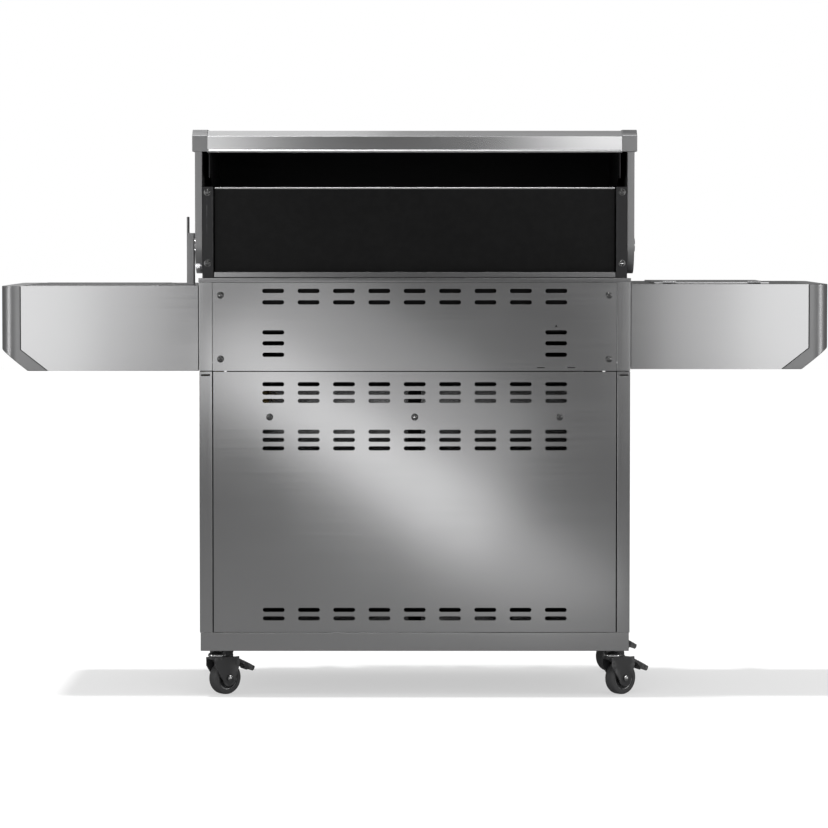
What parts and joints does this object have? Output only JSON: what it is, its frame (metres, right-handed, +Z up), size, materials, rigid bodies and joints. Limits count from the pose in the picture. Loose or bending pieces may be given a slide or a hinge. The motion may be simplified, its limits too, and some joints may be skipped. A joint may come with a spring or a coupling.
{
  "type": "gas barbecue grill",
  "caption": "Gas barbecue with a roll-back lid over a firebox, on a closed steel cabinet with side shelves, a side burner and swivel casters.",
  "frame": {"origin": "on the floor, under the middle of the grill's overall box", "axes": "+X to the right of someone cooking, along the side shelves; +Y to the back; +Z up"},
  "size_m": [1.744, 0.5864, 1.195],
  "materials": {
    "satin_steel": "satin brushed sheet",
    "bright_steel": "bright brushed sheet",
    "screw_steel": "plated",
    "cast_aluminium": "grey cast, satin painted",
    "black_enamel": "gloss porcelain enamel",
    "charcoal_paint": "satin paint",
    "heat_steel": "plain sheet",
    "cast_iron": "matt enamel",
    "brass": "drawn tube and fittings",
    "needle_red": "paint",
    "knob_finish": "satin moulding",
    "caster_black": "black coated pressing",
    "wheel_rubber": "solid tyre"
  },
  "bodies": {
    "cart": {"base_tray": "satin_steel", "side_panel_right": "satin_steel", "side_panel_left": "satin_steel", "upper_side_panels": "satin_steel", "rear_lower_panel": "satin_steel", "rear_upper_panel": "satin_steel", "control_panel": "satin_steel", "right_shelf": "satin_steel", "left_shelf": "satin_steel", "rear_top_rail": "bright_steel", "knob_bezels": "bright_steel", "panel_screws": "screw_steel", "right_shelf_cap": "cast_aluminium", "left_shelf_cap": "cast_aluminium", "spit_motor_bracket": "cast_aluminium", "firebox": "black_enamel", "firebox_rear_wall": "black_enamel", "hinge_posts": "charcoal_paint", "front_frame": "charcoal_paint", "caster_mounts": "charcoal_paint", "main_burners": "heat_steel", "flame_tamers": "heat_steel", "warming_rack": "heat_steel", "side_burner": "heat_steel", "cooking_grids": "cast_iron", "side_burner_grate": "cast_iron", "gas_manifold": "brass"},
    "lid": {"lid_shell": "bright_steel", "lid_liner": "black_enamel", "lid_cap_right": "cast_aluminium", "lid_cap_left": "cast_aluminium", "lid_handle": "bright_steel", "lid_handle_brackets": "cast_aluminium", "lid_hinge_pins": "bright_steel", "gauge_body": "bright_steel"},
    "gauge_pointer": {"gauge_needle": "needle_red"},
    "right_door": {"door_right": "satin_steel", "door_handle_right": "bright_steel"},
    "left_door": {"door_left": "satin_steel", "door_handle_left": "bright_steel"},
    "grease_tray": {"drip_tray": "satin_steel"},
    "side_lid": {"side_burner_lid": "bright_steel"},
    "side_knob": {"side_burner_knob": "knob_finish"},
    "knob_1_body": {"knob_1": "knob_finish"},
    "knob_2_body": {"knob_2": "knob_finish"},
    "knob_3_body": {"knob_3": "knob_finish"},
    "knob_4_body": {"knob_4": "knob_finish"},
    "knob_5_body": {"knob_5": "knob_finish"},
    "caster_rear_right": {"fork_rear_right": "caster_black"},
    "roller_rear_right": {"wheel_rear_right": "wheel_rubber"},
    "pedal_rear_right": {"brake_rear_right": "caster_black"},
    "caster_rear_left": {"fork_rear_left": "caster_black"},
    "roller_rear_left": {"wheel_rear_left": "wheel_rubber"},
    "pedal_rear_left": {"brake_rear_left": "caster_black"},
    "caster_front_right": {"fork_front_right": "caster_black"},
    "roller_front_right": {"wheel_front_right": "wheel_rubber"},
    "pedal_front_right": {"brake_front_right": "caster_black"},
    "caster_front_left": {"fork_front_left": "caster_black"},
    "roller_front_left": {"wheel_front_left": "wheel_rubber"},
    "pedal_front_left": {"brake_front_left": "caster_black"}
  },
  "joints": [
    {"name": "lid_hinge", "type": "hinge", "parent": "cart", "child": "lid", "pos_m": [0, 0.225, 0.953], "axis": [-1, 0, 0], "range_deg": [0, 85]},
    {"name": "gauge_turn", "type": "hinge", "parent": "lid", "child": "gauge_pointer", "pos_m": [0, -0.221, 1], "axis": [0, 1, 0], "range_deg": [0, 250]},
    {"name": "door_right_hinge", "type": "hinge", "parent": "cart", "child": "right_door", "pos_m": [0.437, -0.217, 0.396], "axis": [0, 0, 1], "range_deg": [0, 105]},
    {"name": "door_left_hinge", "type": "hinge", "parent": "cart", "child": "left_door", "pos_m": [-0.437, -0.217, 0.396], "axis": [0, 0, -1], "range_deg": [0, 105]},
    {"name": "grease_tray_slide", "type": "slide", "parent": "cart", "child": "grease_tray", "axis": [0, -1, 0], "range_m": [0, 0.33]},
    {"name": "side_lid_hinge", "type": "hinge", "parent": "cart", "child": "side_lid", "pos_m": [-0.63, 0.201, 0.8743], "axis": [-1, 0, 0], "range_deg": [0, 100]},
    {"name": "side_knob_turn", "type": "hinge", "parent": "cart", "child": "side_knob", "pos_m": [-0.63, -0.24, 0.782], "axis": [0, -1, 0], "range_deg": [0, 180]},
    {"name": "knob_1_turn", "type": "hinge", "parent": "cart", "child": "knob_1_body", "pos_m": [-0.32, -0.272, 0.79], "axis": [0, -1, 0], "range_deg": [0, 180]},
    {"name": "knob_2_turn", "type": "hinge", "parent": "cart", "child": "knob_2_body", "pos_m": [-0.16, -0.272, 0.79], "axis": [0, -1, 0], "range_deg": [0, 180]},
    {"name": "knob_3_turn", "type": "hinge", "parent": "cart", "child": "knob_3_body", "pos_m": [0, -0.272, 0.79], "axis": [0, -1, 0], "range_deg": [0, 180]},
    {"name": "knob_4_turn", "type": "hinge", "parent": "cart", "child": "knob_4_body", "pos_m": [0.16, -0.272, 0.79], "axis": [0, -1, 0], "range_deg": [0, 180]},
    {"name": "knob_5_turn", "type": "hinge", "parent": "cart", "child": "knob_5_body", "pos_m": [0.32, -0.272, 0.79], "axis": [0, -1, 0], "range_deg": [0, 180]},
    {"name": "swivel_rear_right", "type": "hinge", "parent": "cart", "child": "caster_rear_right", "pos_m": [0.42, 0.245, 0.082], "axis": [0, 0, 1], "continuous": true},
    {"name": "roll_rear_right", "type": "hinge", "parent": "caster_rear_right", "child": "roller_rear_right", "pos_m": [0.40315, 0.23086, 0.035], "axis": [0.6428, -0.766, 0], "continuous": true},
    {"name": "brake_press_rear_right", "type": "hinge", "parent": "caster_rear_right", "child": "pedal_rear_right", "pos_m": [0.38629, 0.21672, 0.07], "axis": [0.6428, -0.766, 0], "range_deg": [0, 12]},
    {"name": "swivel_rear_left", "type": "hinge", "parent": "cart", "child": "caster_rear_left", "pos_m": [-0.42, 0.245, 0.082], "axis": [0, 0, 1], "continuous": true},
    {"name": "roll_rear_left", "type": "hinge", "parent": "caster_rear_left", "child": "roller_rear_left", "pos_m": [-0.43685, 0.23086, 0.035], "axis": [0.6428, -0.766, 0], "continuous": true},
    {"name": "brake_press_rear_left", "type": "hinge", "parent": "caster_rear_left", "child": "pedal_rear_left", "pos_m": [-0.45371, 0.21672, 0.07], "axis": [0.6428, -0.766, 0], "range_deg": [0, 12]},
    {"name": "swivel_front_right", "type": "hinge", "parent": "cart", "child": "caster_front_right", "pos_m": [0.42, -0.175, 0.082], "axis": [0, 0, 1], "continuous": true},
    {"name": "roll_front_right", "type": "hinge", "parent": "caster_front_right", "child": "roller_front_right", "pos_m": [0.43198, -0.19345, 0.035], "axis": [0.8387, 0.5446, 0], "continuous": true},
    {"name": "brake_press_front_right", "type": "hinge", "parent": "caster_front_right", "child": "pedal_front_right", "pos_m": [0.44396, -0.2119, 0.07], "axis": [0.8387, 0.5446, 0], "range_deg": [0, 12]},
    {"name": "swivel_front_left", "type": "hinge", "parent": "cart", "child": "caster_front_left", "pos_m": [-0.42, -0.175, 0.082], "axis": [0, 0, 1], "continuous": true},
    {"name": "roll_front_left", "type": "hinge", "parent": "caster_front_left", "child": "roller_front_left", "pos_m": [-0.43685, -0.18914, 0.035], "axis": [0.6428, -0.766, 0], "continuous": true},
    {"name": "brake_press_front_left", "type": "hinge", "parent": "caster_front_left", "child": "pedal_front_left", "pos_m": [-0.45371, -0.20328, 0.07], "axis": [0.6428, -0.766, 0], "range_deg": [0, 12]}
  ]
}
